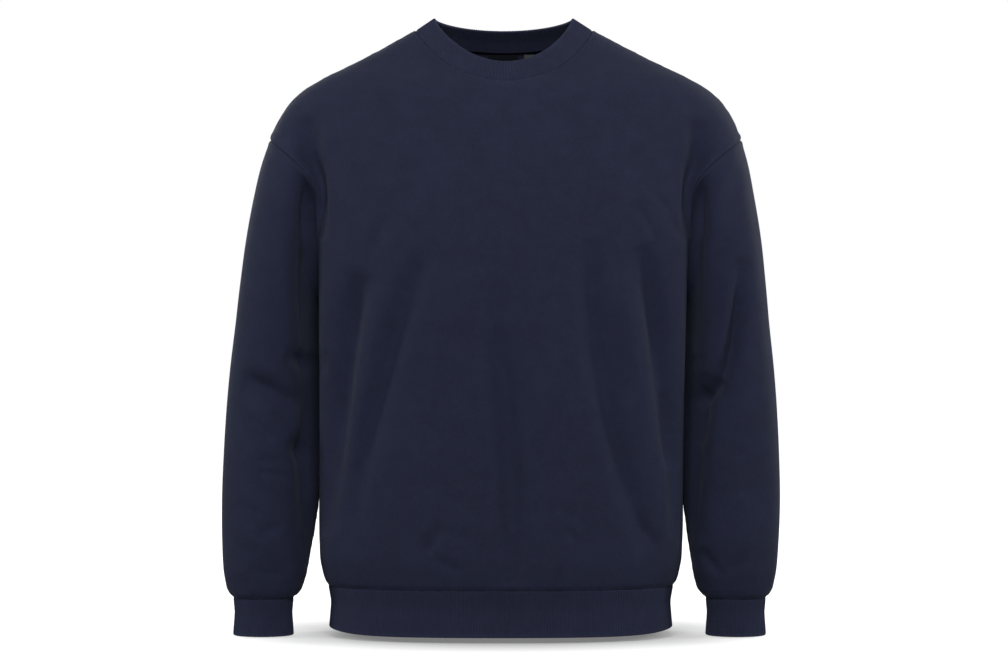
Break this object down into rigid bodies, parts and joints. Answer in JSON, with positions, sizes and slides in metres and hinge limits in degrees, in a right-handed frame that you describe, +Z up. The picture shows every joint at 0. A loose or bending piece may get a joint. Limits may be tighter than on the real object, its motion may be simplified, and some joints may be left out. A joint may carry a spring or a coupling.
{
  "type": "crewneck sweatshirt",
  "caption": "Plain crewneck sweatshirt with dropped shoulders, long sleeves and ribbed neckband, hem and cuffs, filled out as if worn.",
  "frame": {"origin": "middle of the neck opening, level with the top of the shoulders where they meet the neckband", "axes": "+Z up, -Y the front of the garment, +X the wearer's left arm"},
  "size_m": [0.6566, 0.2663, 0.7239],
  "materials": {
    "navy_fleece": "smooth cotton jersey face of a brushed-back sweatshirt fleece, dark navy, matt with a soft sheen at the edges",
    "navy_rib": "cotton rib knit in the same dark navy, matt",
    "black_label": "woven label, black and blank, satin",
    "grey_tab": "woven tab, grey-green and blank"
  },
  "bodies": {
    "root": {"front": "navy_fleece", "back": "navy_fleece", "sleeve_left": "navy_fleece", "sleeve_right": "navy_fleece", "neckband": "navy_rib", "hem_band": "navy_rib", "cuff_left": "navy_rib", "cuff_right": "navy_rib", "neck_label": "black_label", "size_tab": "grey_tab"}
  },
  "joints": []
}
